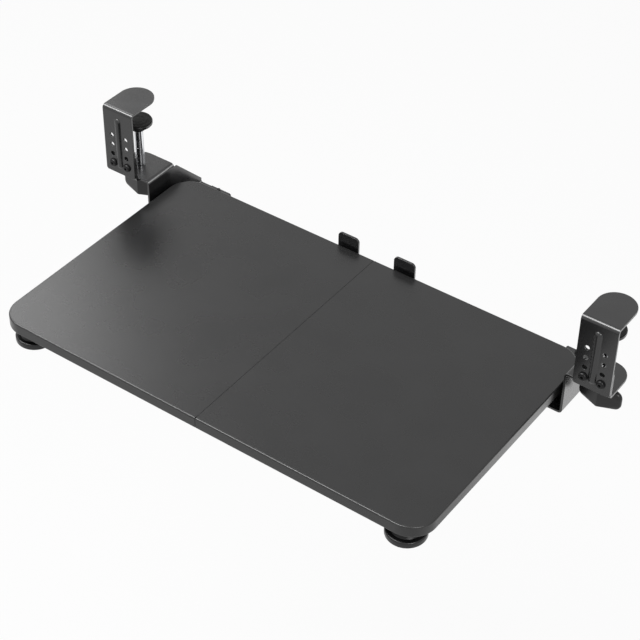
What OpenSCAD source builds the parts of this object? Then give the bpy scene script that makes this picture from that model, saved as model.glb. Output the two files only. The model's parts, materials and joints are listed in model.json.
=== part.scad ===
// Sliding tray that hangs from two screw clamps under a gripped panel.
// X runs to the right, Y away from the user and Z up, in millimetres.
// The origin is the middle of the gripped panel's upper front corner.
// Everything is drawn for the right side and mirrored for the left one.

/* [Tray] */
// Width of the tray
tray_w = 510; // [420:5:620]
// Depth of the tray from front to back
tray_d = 300; // [260:5:340]
// Thickness of the two boards
board_t = 13; // [11:0.5:18]
// Radius of the tray's four corners
corner_r = 27; // [12:1:40]
// Gap at the seam between the two boards
seam_gap = 0.3; // [0.2:0.1:0.6]
// Thickness of the band around the boards' edges
band_t = 2; // [0.8:0.1:3]
// Distance of the tray's rear edge behind the gripped edge when pulled out
tray_back = 62; // [54:1:70]
// Depth of the tray's top below the jaw plate's top
tray_drop = 21; // [17:1:40]

/* [Hook plates] */
// Width of a hook plate
hook_w = 40; // [36:1:60]
// Thickness of the bent sheet in hooks, brackets and stops
sheet_t = 2.5; // [2:0.1:3.5]
// Reach of the hook's top flange behind the gripped edge
hook_l = 49; // [40:1:70]
// Outer radius of the sheet's bends
bend_r = 4.5; // [4:0.1:6]
// Thickness of the soft pad under the hook
hook_pad_t = 2; // [1.5:0.1:3]
// Rim of the hook left bare around its soft pad
hook_pad_rim = 3; // [2:0.5:5]
// Radius of the plates' small corners
small_r = 3; // [1.5:0.5:5]
// Width of the stiffening rib at its foot
rib_w = 8.5; // [5:0.5:9]
// Height of the stiffening rib
rib_h = 2.3; // [1:0.1:2.4]
// Bare plate above the stiffening rib
rib_top = 11; // [8:0.5:15]
// Bare plate below the stiffening rib
rib_foot = 7.5; // [6:0.5:12]

/* [Height setting] */
// Distance from the hook's seat down to the jaw plate's top
jaw_drop = 80; // [74:1:110]
// Spacing of the two columns of bolt holes
column_pitch = 19; // [18:1:26]
// Spacing of the rows of bolt holes
row_pitch = 12; // [11:0.5:13]
// Number of rows of bolt holes
rows = 4; // [2:1:4]
// Height of the bolts above the jaw plate's top
bolt_rise = 13.5; // [11:0.5:18]
// Plate left below the lowest row of holes
hook_foot = 12; // [8:0.5:14]
// Height of the bracket's tab above the jaw plate's top
tab_h = 31; // [25:1:32]

/* [Brackets] */
// Gap between the tray's side and the bracket's web
side_gap = 4.5; // [2:0.5:8]
// Gap between the web and the hook plate's inner edge
hook_gap = 12.5; // [10:0.5:24]
// Setback of the bracket's front from the gripped edge
bracket_front = 5.5; // [4:0.5:8]
// Length of the bracket along the slide
bracket_l = 89.5; // [84:0.5:110]
// Reach of the jaw plate behind the gripped edge
jaw_l = 49; // [46:1:60]
// Radius of the jaw plate's outer rear corner
jaw_r = 20; // [8:1:24]
// Height of the web at its rear end
web_tail = 7.5; // [6:0.5:14]
// Depth of the relief behind the bend at the jaw plate's rear edge
bend_relief = 6; // [5:0.5:8]

/* [Slides] */
// Height of the slide between the bracket and the board
slide_h = 16.5; // [15:0.5:20]
// Distance of the slide's middle from the tray's side
rail_in = 24; // [22:1:60]
// Outer width of the carriage channel
carriage_w = 26; // [25.5:0.5:34]
// Sheet thickness of the carriage channel
carriage_t = 1.2; // [1:0.1:1.6]
// Height of the carriage channel
carriage_h = 12; // [11.5:0.1:13]
// Width of the carriage channel's lips
lip_w = 5.3; // [4.5:0.1:6]
// Sheet thickness of the runner
runner_t = 1.5; // [1.2:0.1:2]
// Width of the runner's raised crown
crown_w = 13; // [12:0.5:14]
// Height of the runner's side flanges above the bracket
runner_rise = 5.2; // [4.6:0.1:6]
// Length of the carriage's walls behind the liners
channel_rim = 7; // [4:0.5:12]
// Length of the liners in the carriage
liner_l = 52; // [40:1:54]
// Back wall of the liners
liner_back = 0.9; // [0.6:0.1:1.4]
// Running gap around the runner's flanges
run_gap = 0.3; // [0.2:0.05:0.4]
// Setback of the runner's rear end from the tray's rear edge
runner_setback = 2; // [0:0.5:6]
// Depth of the stop cap on the runner's rear end
cap_l = 6; // [4:0.5:10]
// Screws along one runner
runner_screws_n = 4; // [2:1:6]

/* [Rear stops] */
// Width of an upright stop
stop_w = 26; // [20:1:40]
// Height of the stops above the tray
stop_h = 14; // [10:0.5:30]
// Distance of the stops from the seam
stop_x = 35.5; // [24:0.5:90]
// Gap between the tray's rear edge and a stop
stop_gap = 3; // [0.5:0.5:4]
// Length of the stop's foot under the board
stop_foot = 28; // [24:1:40]
// Radius of the stop's upper corners
stop_r = 5; // [2:0.5:9]

/* [Feet] */
// Diameter of a foot
foot_d = 41; // [34:1:46]
// Height of a foot with its sole
foot_h = 20.5; // [15:0.5:24]
// Height of the foot's wide rim
foot_rim = 7.5; // [5:0.5:8]
// Rounding of the foot's rim
foot_round = 2; // [1:0.25:2.25]
// Diameter of the foot's neck
neck_d = 27; // [22:1:30]
// Thickness of the foot's soft sole
sole_t = 1.5; // [1:0.25:2.5]
// Rim of the foot left bare around its sole
sole_rim = 3; // [2:0.5:5]
// Distance of the feet from the tray's front edge
foot_in = 22.5; // [21:0.5:40]
// Distance of the feet from the tray's sides
foot_side = 28; // [24:1:60]

/* [Clamp screws] */
// Thickness of the panel gripped in this pose
panel_t = 22; // [18:1:30]
// Diameter of the threaded rod
rod_d = 10; // [8:0.5:12]
// Offset of the rod from the hook's middle towards the tray
rod_inset = 2; // [0:0.5:6]
// Distance of the rod behind the gripped edge
rod_back = 28; // [24:0.5:32]
// Running gap of the rod in its nut and of the swivel in its pad
thread_gap = 0.05; // [0.02:0.01:0.1]
// Width across the flats of the clamp nut
nut_w = 16; // [15:0.5:17]
// Height of the clamp nut
nut_h = 6; // [4:0.5:7]
// Diameter of the clamp pad
pad_d = 32; // [26:1:40]
// Thickness of the clamp pad's steel disc
pad_t = 3.5; // [2.5:0.25:5]
// Thickness of the clamp pad's soft face
face_t = 1.5; // [1:0.25:3]
// Height of the pad's swivel socket
socket_h = 7; // [6:0.5:10]
// Length of the wing knob
knob_l = 46; // [42:0.5:49]
// Width of the wing knob at its ridges
knob_w = 16; // [15.5:0.5:24]
// Height of the wing knob
knob_h = 22; // [18:1:28]
// Radius of the wing knob's tips
tip_r = 3.25; // [2:0.25:5]
// Radius of the wing knob's ridges
ridge_r = 3; // [2:0.25:5]
// Rounding of the wings seen from the side
wing_r = 8; // [5:0.5:8.5]
// Gap between the clamp nut and the knob
knob_gap = 7.5; // [6.75:0.25:10]
// Turn of the left wing knob in this pose
left_turn = 2; // [-15:1:15]
// Turn of the right wing knob in this pose
right_turn = 0; // [-15:1:15]

/* [Fasteners] */
// Diameter of the hook bolts
bolt_d = 5; // [4:0.5:6]
// Diameter of the small machine and wood screws
screw_d = 4; // [3.5:0.25:4.5]
// Length of the rear carriage screw's end above the carriage's tail
tail_screw_end = 3.3; // [2:0.1:4]
// Clearance around bolts and screws in their holes
hole_gap = 0.15; // [0.1:0.05:0.3]
// Depth that the wood screws reach into a board
screw_bite = 8; // [5:0.5:9]
// Length of a joint plate across the seam
joint_l = 160; // [100:5:200]
// Width of a joint plate
joint_w = 36; // [20:1:50]
// Thickness of a joint plate
joint_t = 2; // [1.5:0.25:3]
// Distance of the joint plates from the tray's front and rear edges
joint_in = 75; // [60:1:110]
// Diameter of the dowels in the seam
dowel_d = 6; // [5:0.5:8]
// Length of the dowels
dowel_l = 40; // [24:1:60]
// Spacing of the dowels along the seam
dowel_pitch = 100; // [60:5:110]

/* [Hidden] */
$fn = 64;
// Overrun of a cut past the face that it opens
cut = 1;
// Anything larger than the tray, for half planes
far = 2000;

// Heights
hook_z = hook_pad_t;
hook_top = hook_z + sheet_t;
jaw_z = -jaw_drop;
jaw_under = jaw_z - sheet_t;
tray_z = jaw_z - tray_drop;
board_z = tray_z - board_t;
rail_z = board_z - slide_h;
flange_z = rail_z - sheet_t;
bolt_z = jaw_z + bolt_rise;
hook_low = bolt_z - hook_foot;

// Places across the width
web_x = tray_w / 2 + side_gap;
web_out = web_x + sheet_t;
hook_in = web_x + hook_gap;
hook_x = hook_in + hook_w / 2;
hook_out = hook_in + hook_w;
rod_x = hook_x - rod_inset;
rail_x = tray_w / 2 - rail_in;
foot_x = tray_w / 2 - foot_side;
flange_rim = 1;
flange_in = rail_x - carriage_w / 2 - flange_rim;

// Places along the depth
tray_rear = tray_back;
tray_front = tray_back - tray_d;
tray_mid = tray_back - tray_d / 2;
bracket_rear = bracket_front + bracket_l;
foot_y = tray_front + foot_in;
carriage_inset = 0.5;
carriage_front = bracket_front + carriage_inset;
carriage_rear = bracket_rear - carriage_inset;
runner_rear = tray_rear - runner_setback;
runner_front_gap = 2;
runner_front = foot_y + foot_d / 2 + runner_front_gap;
stop_play = 0.5;
liner_rear = runner_rear - stop_play;
liner_front = max(carriage_front, liner_rear - liner_l);
channel_rear = min(carriage_rear, liner_rear + channel_rim);

// Fasteners
bolt_r = bolt_d / 2;
bolt_head_r = bolt_d * 0.95;
bolt_head_h = bolt_d * 0.55;
bolt_key = bolt_d * 0.6;
bolt_nut_w = bolt_d * 1.6;
bolt_nut_h = bolt_d * 0.8;
screw_r = screw_d / 2;
screw_head_r = screw_d * 0.85;
screw_head_h = screw_d * 0.5;
screw_nut_w = screw_d * 1.75;
screw_nut_h = screw_d * 0.8;
carriage_screw_in = [12, 5];
carriage_screw_y = [bracket_front + carriage_screw_in[0], bracket_rear - carriage_screw_in[1]];
runner_screw_in = 20;
runner_screw_pitch = (runner_rear - runner_front - 2 * runner_screw_in) / (runner_screws_n - 1);
runner_screw_first = runner_front + runner_screw_in;
runner_screw_y = [for (i = [0:runner_screws_n - 1]) runner_screw_first + i * runner_screw_pitch];
joint_y = [tray_front + joint_in, tray_rear - joint_in];
joint_screw_x = [joint_l / 8, joint_l * 3 / 8];
stop_screw_at = [stop_x - stop_w / 4, stop_x + stop_w / 4];
stop_screw_in = 16;
dowel_y = [for (i = [-1:1]) tray_mid + i * dowel_pitch];
dowel_end_gap = 0.5;

// Clamp screw stack, from the gripped panel's underside down to the knob
pad_z = -panel_t;
disc_top = pad_z - face_t;
disc_low = disc_top - pad_t;
socket_low = disc_low - socket_h;
socket_r = rod_d * 0.8;
swivel_gap = 0.2;
rod_top = socket_low - swivel_gap;
neck_r = rod_d * 0.3;
button_r = rod_d * 0.42;
collar_h = socket_h * 0.4;
button_low = socket_low + collar_h + swivel_gap;
button_top = disc_low - swivel_gap;
knob_top = jaw_under - nut_h - knob_gap;
knob_low = knob_top - knob_h;
knob_floor = 4;
rod_low = knob_low + knob_floor;
rod_hole_gap = 0.6;

// Helpers

// Extrudes a profile drawn in X and Z along Y
module along_y(y0, y1) {
    translate([0, y1, 0]) rotate([90, 0, 0]) linear_extrude(y1 - y0) children();
}

// Extrudes a profile drawn in Y and Z along X
module along_x(x0, x1) {
    translate([x0, 0, 0]) rotate([90, 0, 90]) linear_extrude(x1 - x0) children();
}

// A rectangle between two corners
module block2(a, b) {
    translate([min(a[0], b[0]), min(a[1], b[1])]) square([abs(b[0] - a[0]), abs(b[1] - a[1])]);
}

// What a corner of radius r loses, for a corner at p that opens towards the signs d
module corner_cut(p, d, r) {
    difference() {
        block2(p - d * cut, p + d * r);
        translate(p + d * r) circle(r);
    }
}

// What an inside corner of radius r gains, for a corner at p that opens towards the signs d
module corner_fill(p, d, r) {
    difference() {
        block2(p, p + d * r);
        translate(p + d * r) circle(r);
    }
}

// A solid upright cylinder between two heights
module post(x, y, z0, z1, r) {
    translate([x, y, z0]) cylinder(h = z1 - z0, r = r);
}

// A cylinder along Y between two depths
module bar_y(x, z, y0, y1, r) {
    translate([x, y1, z]) rotate([90, 0, 0]) cylinder(h = y1 - y0, r = r);
}

// A hexagonal prism of a width across its flats, drawn upwards from the origin
module hexagon(w, h) {
    cylinder(h = h, r = w / 2 / cos(30), $fn = 6);
}

// The child and its mirror image on the left
module both_sides() {
    children();
    mirror([1, 0, 0]) children();
}

// The child mirrored to the left when side is -1
module on_side(side) {
    mirror([side < 0 ? 1 : 0, 0, 0]) children();
}

// A wood screw that points up, with its head under the height z
module wood_screw(x, y, z, bite) {
    post(x, y, z - screw_head_h, z, screw_head_r);
    post(x, y, z - cut / 2, z + bite, screw_r);
}

// Hook plates

module hook_profile() {
    inner_r = bend_r - sheet_t;
    difference() {
        union() {
            block2([-sheet_t, hook_low], [0, hook_top]);
            block2([-sheet_t, hook_z], [hook_l, hook_top]);
            corner_fill([0, hook_z], [1, -1], inner_r);
        }
        corner_cut([-sheet_t, hook_top], [1, -1], bend_r);
    }
}

module hook_plan(rim) {
    end_r = hook_w / 2 - rim;
    block2([hook_in + rim, -sheet_t], [hook_out - rim, hook_l - hook_w / 2]);
    translate([hook_x, hook_l - hook_w / 2]) circle(end_r);
}

module hook_front() {
    difference() {
        block2([hook_in, hook_low], [hook_out, hook_top]);
        corner_cut([hook_in, hook_low], [1, 1], small_r);
        corner_cut([hook_out, hook_low], [-1, 1], small_r);
    }
}

// A stiffening rib, round across and domed at both ends
module hook_rib() {
    r = (rib_w * rib_w / 4 + rib_h * rib_h) / (2 * rib_h);
    axis_y = r - sheet_t - rib_h;
    z0 = hook_low + rib_foot + rib_w / 2;
    z1 = hook_top - rib_top - rib_w / 2;
    intersection() {
        union() {
            post(hook_x, axis_y, z0, z1, r);
            translate([hook_x, axis_y, z0]) sphere(r);
            translate([hook_x, axis_y, z1]) sphere(r);
        }
        translate([hook_in, -sheet_t - 2 * rib_h, hook_low])
            cube([hook_w, 2 * rib_h + sheet_t / 2, hook_top - hook_low]);
    }
}

module bolt_places(count) {
    for (column = [-1, 1], row = [0:count - 1])
        translate([hook_x + column * column_pitch / 2, 0, bolt_z + row * row_pitch]) children();
}

module hook(side) {
    on_side(side) difference() {
        union() {
            intersection() {
                along_x(hook_in, hook_out) hook_profile();
                translate([0, 0, hook_low]) linear_extrude(hook_top - hook_low) hook_plan(0);
                along_y(-sheet_t, hook_l) hook_front();
            }
            hook_rib();
        }
        bolt_places(rows) bar_y(0, 0, -sheet_t - cut, cut, bolt_r + hole_gap);
    }
}

module hook_pad(side) {
    on_side(side) linear_extrude(hook_pad_t) difference() {
        hook_plan(hook_pad_rim);
        block2([hook_in, -far], [hook_out, hook_pad_rim]);
    }
}

module hook_bolts(side) {
    on_side(side) bolt_places(1) difference() {
        union() {
            bar_y(0, 0, -sheet_t - bolt_head_h, -sheet_t, bolt_head_r);
            bar_y(0, 0, -sheet_t - cut / 2, sheet_t + bolt_nut_h + cut, bolt_r);
        }
        translate([0, -sheet_t - bolt_head_h / 3, 0]) rotate([90, 0, 0]) hexagon(bolt_key, bolt_head_h);
    }
}

module hook_nuts(side) {
    on_side(side) bolt_places(1) difference() {
        translate([0, sheet_t + bolt_nut_h, 0]) rotate([90, 0, 0]) hexagon(bolt_nut_w, bolt_nut_h);
        bar_y(0, 0, sheet_t - cut, sheet_t + bolt_nut_h + cut, bolt_r + hole_gap);
    }
}

// Brackets

// Jaw plate, web and lower flange seen from the front
module bracket_section() {
    inner_r = bend_r - sheet_t;
    difference() {
        union() {
            block2([web_x, jaw_under], [hook_out, jaw_z]);
            block2([web_x, flange_z], [web_out, jaw_z]);
            block2([flange_in, flange_z], [web_out, rail_z]);
            corner_fill([web_out, jaw_under], [1, -1], inner_r);
            corner_fill([web_x, rail_z], [-1, 1], inner_r);
        }
        corner_cut([web_x, jaw_z], [1, -1], bend_r);
        corner_cut([web_out, flange_z], [-1, 1], bend_r);
    }
}

// The web's outline from the side, sloping from a relief under the jaw down to its tail
module bracket_side() {
    tail_z = flange_z + web_tail;
    relief_z = jaw_z - bend_relief;
    relief_y = jaw_l + bend_relief * (bracket_rear - jaw_l) / (jaw_z - tail_z);
    difference() {
        polygon([
            [bracket_front, flange_z], [bracket_rear, flange_z], [bracket_rear, tail_z], [relief_y, relief_z],
            [jaw_l, relief_z], [jaw_l, jaw_z], [bracket_front, jaw_z]
        ]);
        corner_cut([bracket_rear, flange_z], [-1, 1], small_r / 2);
    }
}

module bracket_plan() {
    block2([flange_in, bracket_front], [web_out, bracket_rear]);
    difference() {
        block2([web_x, bracket_front], [hook_out, jaw_l]);
        corner_cut([hook_out, jaw_l], [-1, -1], jaw_r);
    }
}

// The tab that bolts behind the hook plate, bent up from the jaw plate
module tab_profile() {
    inner_r = bend_r - sheet_t;
    difference() {
        union() {
            block2([0, jaw_under], [sheet_t, jaw_z + tab_h]);
            block2([0, jaw_under], [bracket_front + bend_r, jaw_z]);
            corner_fill([sheet_t, jaw_z], [1, 1], inner_r);
        }
        corner_cut([0, jaw_under], [1, 1], bend_r);
    }
}

module tab_front() {
    top = jaw_z + tab_h;
    difference() {
        block2([hook_in, jaw_under], [hook_out, top]);
        corner_cut([hook_in, top], [1, -1], small_r);
        corner_cut([hook_out, top], [-1, -1], small_r);
    }
}

module bracket(side) {
    on_side(side) difference() {
        union() {
            intersection() {
                along_y(bracket_front, bracket_rear) bracket_section();
                along_x(flange_in, hook_out) bracket_side();
                translate([0, 0, flange_z]) linear_extrude(jaw_z - flange_z) bracket_plan();
            }
            intersection() {
                along_x(hook_in, hook_out) tab_profile();
                along_y(0, bracket_front + bend_r) tab_front();
            }
        }
        bolt_places(1) bar_y(0, 0, -cut, sheet_t + cut, bolt_r + hole_gap);
        post(rod_x, rod_back, jaw_under - cut, jaw_z + cut, rod_d / 2 + rod_hole_gap);
        for (y = carriage_screw_y) post(rail_x, y, flange_z - cut, rail_z + cut, screw_r + hole_gap);
    }
}

module clamp_nut(side) {
    on_side(side) translate([rod_x, rod_back, jaw_under - nut_h]) difference() {
        hexagon(nut_w, nut_h);
        post(0, 0, -cut, nut_h + cut, rod_d / 2 + thread_gap);
    }
}

// Slides

module carriage_section() {
    half = carriage_w / 2;
    difference() {
        block2([-half, 0], [half, carriage_h]);
        block2([carriage_t - half, carriage_t], [half - carriage_t, carriage_h - carriage_t]);
        block2([lip_w - half, carriage_t], [half - lip_w, carriage_h + cut]);
    }
}

// The channel, with a flat tail behind its walls
module carriage(side) {
    half = carriage_w / 2;
    on_side(side) difference() {
        union() {
            along_y(carriage_front, channel_rear) translate([rail_x, rail_z]) carriage_section();
            along_y(carriage_front, carriage_rear) translate([rail_x, rail_z])
                block2([-half, 0], [half, carriage_t]);
        }
        for (y = carriage_screw_y)
            post(rail_x, y, rail_z - cut, rail_z + carriage_t + cut, screw_r + hole_gap);
    }
}

// One liner of the channel, with the slot that the runner's flange slides in
module liner_section() {
    outer = carriage_w / 2 - carriage_t;
    inner = carriage_w / 2 - lip_w + run_gap;
    difference() {
        block2([inner, carriage_t], [outer, carriage_h - carriage_t]);
        block2([inner - cut, runner_rise - run_gap], [outer - liner_back, runner_rise + runner_t + run_gap]);
    }
}

module liners(side) {
    on_side(side) along_y(liner_front, liner_rear) translate([rail_x, rail_z]) {
        liner_section();
        mirror([1, 0]) liner_section();
    }
}

// The front screw points down into its nut, the rear one up through the tapped tail
module carriage_screws() {
    seat = rail_z + carriage_t;
    both_sides() {
        post(rail_x, carriage_screw_y[0], seat, seat + screw_head_h, screw_head_r);
        post(rail_x, carriage_screw_y[0], flange_z - screw_nut_h - cut, seat + cut / 2, screw_r);
        post(rail_x, carriage_screw_y[1], flange_z - screw_head_h, flange_z, screw_head_r);
        post(rail_x, carriage_screw_y[1], flange_z - cut / 2, seat + tail_screw_end, screw_r);
    }
}

module carriage_nuts() {
    both_sides() translate([rail_x, carriage_screw_y[0], flange_z - screw_nut_h]) difference() {
        hexagon(screw_nut_w, screw_nut_h);
        post(0, 0, -cut, screw_nut_h + cut, screw_r + hole_gap);
    }
}

// A hat section: two side flanges in the liners and a crown under the board
module runner_section() {
    reach = carriage_w / 2 - carriage_t - liner_back - run_gap;
    crown = crown_w / 2;
    difference() {
        union() {
            block2([-reach, runner_rise], [reach, runner_rise + runner_t]);
            block2([-crown, runner_rise], [crown, slide_h]);
        }
        block2([runner_t - crown, runner_rise - cut], [crown - runner_t, slide_h - runner_t]);
    }
}

module runner(side) {
    on_side(side) difference() {
        along_y(runner_front, runner_rear) translate([rail_x, rail_z]) runner_section();
        for (y = runner_screw_y) post(rail_x, y, board_z - runner_t - cut, board_z + cut, screw_r + hole_gap);
    }
}

// The cap closes the runner's rear end and meets the liners when the tray is pulled out
module runner_cap(side) {
    half = carriage_w / 2 - carriage_t - run_gap;
    leg_low = carriage_t + 2 * run_gap;
    leg_top = carriage_h - carriage_t - run_gap;
    plug = crown_w / 2 - runner_t - hole_gap;
    plug_top = slide_h - runner_t - hole_gap;
    plug_low = runner_rise + runner_t;
    plug_l = 8;
    on_side(side) translate([rail_x, 0, rail_z]) {
        along_y(runner_rear, runner_rear + cap_l) difference() {
            union() {
                block2([-half, leg_low], [half, leg_top]);
                block2([-plug, leg_low], [plug, plug_top]);
            }
            block2([-plug, leg_low - cut], [plug, plug_low]);
        }
        along_y(runner_rear - plug_l, runner_rear + cap_l) block2([-plug, plug_low], [plug, plug_top]);
    }
}

module runner_screws() {
    both_sides() for (y = runner_screw_y) wood_screw(rail_x, y, board_z - runner_t, runner_t + screw_bite);
}

// Clamp screws

module clamp_pad(side) {
    on_side(side) difference() {
        union() {
            post(rod_x, rod_back, disc_low, disc_top, pad_d / 2);
            post(rod_x, rod_back, socket_low, disc_top, socket_r);
        }
        post(rod_x, rod_back, socket_low - cut, disc_low, neck_r + thread_gap);
        post(rod_x, rod_back, socket_low + collar_h, disc_low, button_r + swivel_gap);
    }
}

module pad_face(side) {
    on_side(side) post(rod_x, rod_back, disc_top, pad_z, pad_d / 2 - cut);
}

module clamp_rod(side) {
    on_side(side) {
        post(rod_x, rod_back, rod_low, rod_top, rod_d / 2);
        post(rod_x, rod_back, rod_top - cut, button_low + cut / 2, neck_r);
        post(rod_x, rod_back, button_low, button_top, button_r);
    }
}

module knob_outline() {
    hull() {
        for (side = [-1, 1]) {
            translate([side * (knob_l / 2 - tip_r), 0]) circle(tip_r, $fn = 32);
            translate([0, side * (knob_w / 2 - ridge_r)]) circle(ridge_r, $fn = 32);
        }
    }
}

// The knob seen from its side, with rounded wing ends
module knob_side() {
    half = knob_l / 2;
    difference() {
        block2([-half, 0], [half, knob_h]);
        for (side = [-1, 1]) {
            corner_cut([side * half, 0], [-side, 1], wing_r);
            corner_cut([side * half, knob_h], [-side, -1], wing_r);
        }
    }
}

module knob(side) {
    translate([side * rod_x, rod_back, knob_low]) difference() {
        rotate(side < 0 ? left_turn : right_turn) intersection() {
            linear_extrude(knob_h) knob_outline();
            along_y(-knob_w, knob_w) knob_side();
        }
        post(0, 0, knob_floor, knob_h + cut, rod_d / 2 + hole_gap);
    }
}

// Tray

module tray_outline(inset) {
    r = corner_r - inset;
    half = [tray_w / 2 - inset, tray_d / 2 - inset];
    translate([0, tray_mid]) {
        block2([-half[0], r - half[1]], [half[0], half[1] - r]);
        block2([r - half[0], -half[1]], [half[0] - r, half[1]]);
        for (x = [-1, 1], y = [-1, 1])
            translate([x * (half[0] - r), y * (half[1] - r)]) circle(r);
    }
}

module right_half() {
    block2([seam_gap / 2, -far], [far, far]);
}

module board(side) {
    on_side(side) difference() {
        translate([0, 0, board_z]) linear_extrude(board_t) intersection() {
            tray_outline(band_t);
            right_half();
        }
        pilot_r = screw_r + hole_gap;
        depth = board_z + screw_bite + 2 * hole_gap;
        for (y = runner_screw_y) post(rail_x, y, board_z - cut, depth, pilot_r);
        for (y = joint_y, x = joint_screw_x) post(x, y, board_z - cut, depth, pilot_r);
        for (x = stop_screw_at) post(x, tray_rear - stop_screw_in, board_z - cut, depth, pilot_r);
        post(foot_x, foot_y, board_z - cut, depth, pilot_r);
        for (y = dowel_y) translate([0, y, board_z + board_t / 2]) rotate([0, 90, 0])
            cylinder(h = dowel_l / 2 + dowel_end_gap, r = dowel_d / 2 + hole_gap);
    }
}

module edge_band(side) {
    on_side(side) translate([0, 0, board_z]) linear_extrude(board_t) intersection() {
        difference() {
            tray_outline(0);
            tray_outline(band_t);
        }
        right_half();
    }
}

module dowels() {
    for (y = dowel_y) translate([-dowel_l / 2, y, board_z + board_t / 2]) rotate([0, 90, 0])
        cylinder(h = dowel_l, r = dowel_d / 2);
}

module joint_plate(y) {
    difference() {
        translate([0, y, board_z - joint_t]) linear_extrude(joint_t) difference() {
            block2([-joint_l / 2, -joint_w / 2], [joint_l / 2, joint_w / 2]);
            for (i = [-1, 1], j = [-1, 1])
                corner_cut([i * joint_l / 2, j * joint_w / 2], [-i, -j], small_r);
        }
        both_sides() for (x = joint_screw_x)
            post(x, y, board_z - joint_t - cut, board_z + cut, screw_r + hole_gap);
    }
}

module joint_screws() {
    both_sides() for (y = joint_y, x = joint_screw_x)
        wood_screw(x, y, board_z - joint_t, joint_t + screw_bite);
}

// Rear stops

module stop_profile() {
    front = tray_rear + stop_gap;
    rear = front + sheet_t;
    low = board_z - sheet_t;
    difference() {
        union() {
            block2([front, low], [rear, tray_z + stop_h]);
            block2([tray_rear - stop_foot, low], [rear, board_z]);
        }
        corner_cut([rear, low], [-1, 1], min(bend_r, sheet_t + stop_gap));
    }
}

module stop_front() {
    top = tray_z + stop_h;
    difference() {
        block2([stop_x - stop_w / 2, board_z - sheet_t], [stop_x + stop_w / 2, top]);
        for (i = [-1, 1]) corner_cut([stop_x + i * stop_w / 2, top], [-i, -1], stop_r);
    }
}

module rear_stop(side) {
    on_side(side) difference() {
        intersection() {
            along_x(stop_x - stop_w / 2, stop_x + stop_w / 2) stop_profile();
            along_y(tray_rear - stop_foot, tray_rear + stop_gap + sheet_t) stop_front();
        }
        for (x = stop_screw_at)
            post(x, tray_rear - stop_screw_in, board_z - sheet_t - cut, board_z + cut, screw_r + hole_gap);
    }
}

module stop_screws() {
    both_sides() for (x = stop_screw_at)
        wood_screw(x, tray_rear - stop_screw_in, board_z - sheet_t, sheet_t + screw_bite);
}

// Feet

module foot_section() {
    r = foot_d / 2;
    base = sole_t - foot_h;
    block2([0, base], [neck_d / 2, 0]);
    block2([0, base], [r - foot_round, base + foot_rim]);
    block2([0, base + foot_round], [r, base + foot_rim - foot_round]);
    for (z = [base + foot_round, base + foot_rim - foot_round])
        translate([r - foot_round, z]) circle(foot_round);
}

foot_well_r = screw_head_r + 1.5;
foot_well_h = foot_rim;

module foot(side) {
    on_side(side) translate([foot_x, foot_y, board_z]) difference() {
        rotate_extrude() foot_section();
        post(0, 0, sole_t - foot_h - cut, sole_t - foot_h + foot_well_h, foot_well_r);
        post(0, 0, -foot_h, cut, screw_r + hole_gap);
    }
}

module foot_sole(side) {
    on_side(side) translate([foot_x, foot_y, board_z - foot_h]) difference() {
        post(0, 0, 0, sole_t, foot_d / 2 - sole_rim);
        post(0, 0, -cut, sole_t + cut, foot_well_r);
    }
}

module foot_screws() {
    seat = sole_t - foot_h + foot_well_h;
    both_sides() wood_screw(foot_x, foot_y, board_z + seat, screw_bite - seat);
}

// Colours

powder_black = [0.07, 0.07, 0.075];
laminate_black = [0.05, 0.05, 0.052];
band_black = [0.09, 0.09, 0.09];
moulded_black = [0.06, 0.06, 0.06];
rubber_black = [0.03, 0.03, 0.03];
zinc_grey = [0.62, 0.63, 0.65];
chrome_bright = [0.82, 0.83, 0.85];
screw_black = [0.04, 0.04, 0.04];
nylon_white = [0.85, 0.85, 0.82];
beech = [0.76, 0.6, 0.42];

color(powder_black) hook(-1);  // left_hook
color(powder_black) hook(1);  // right_hook
color(rubber_black) hook_pad(-1);  // left_hook_pad
color(rubber_black) hook_pad(1);  // right_hook_pad
color(powder_black) bracket(-1);  // left_bracket
color(powder_black) bracket(1);  // right_bracket
color(screw_black) hook_bolts(-1);  // left_hook_bolts
color(screw_black) hook_bolts(1);  // right_hook_bolts
color(zinc_grey) hook_nuts(-1);  // left_hook_nuts
color(zinc_grey) hook_nuts(1);  // right_hook_nuts
color(zinc_grey) clamp_nut(-1);  // left_clamp_nut
color(zinc_grey) clamp_nut(1);  // right_clamp_nut
color(zinc_grey) carriage(-1);  // left_carriage
color(zinc_grey) carriage(1);  // right_carriage
color(nylon_white) liners(-1);  // left_liners
color(nylon_white) liners(1);  // right_liners
color(screw_black) carriage_screws();
color(zinc_grey) carriage_nuts();
color(powder_black) clamp_pad(-1);  // left_clamp_pad
color(powder_black) clamp_pad(1);  // right_clamp_pad
color(rubber_black) pad_face(-1);  // left_pad_face
color(rubber_black) pad_face(1);  // right_pad_face
color(chrome_bright) clamp_rod(-1);  // left_clamp_rod
color(chrome_bright) clamp_rod(1);  // right_clamp_rod
color(moulded_black) knob(-1);  // left_knob
color(moulded_black) knob(1);  // right_knob
color(laminate_black) board(-1);  // left_board
color(laminate_black) board(1);  // right_board
color(band_black) edge_band(-1);  // left_edge_band
color(band_black) edge_band(1);  // right_edge_band
color(beech) dowels();
color(powder_black) joint_plate(joint_y[0]);  // front_joint_plate
color(powder_black) joint_plate(joint_y[1]);  // rear_joint_plate
color(screw_black) joint_screws();
color(zinc_grey) runner(-1);  // left_runner
color(zinc_grey) runner(1);  // right_runner
color(moulded_black) runner_cap(-1);  // left_runner_cap
color(moulded_black) runner_cap(1);  // right_runner_cap
color(screw_black) runner_screws();
color(powder_black) rear_stop(-1);  // left_rear_stop
color(powder_black) rear_stop(1);  // right_rear_stop
color(screw_black) stop_screws();
color(moulded_black) foot(-1);  // left_foot
color(moulded_black) foot(1);  // right_foot
color(rubber_black) foot_sole(-1);  // left_foot_sole
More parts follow.
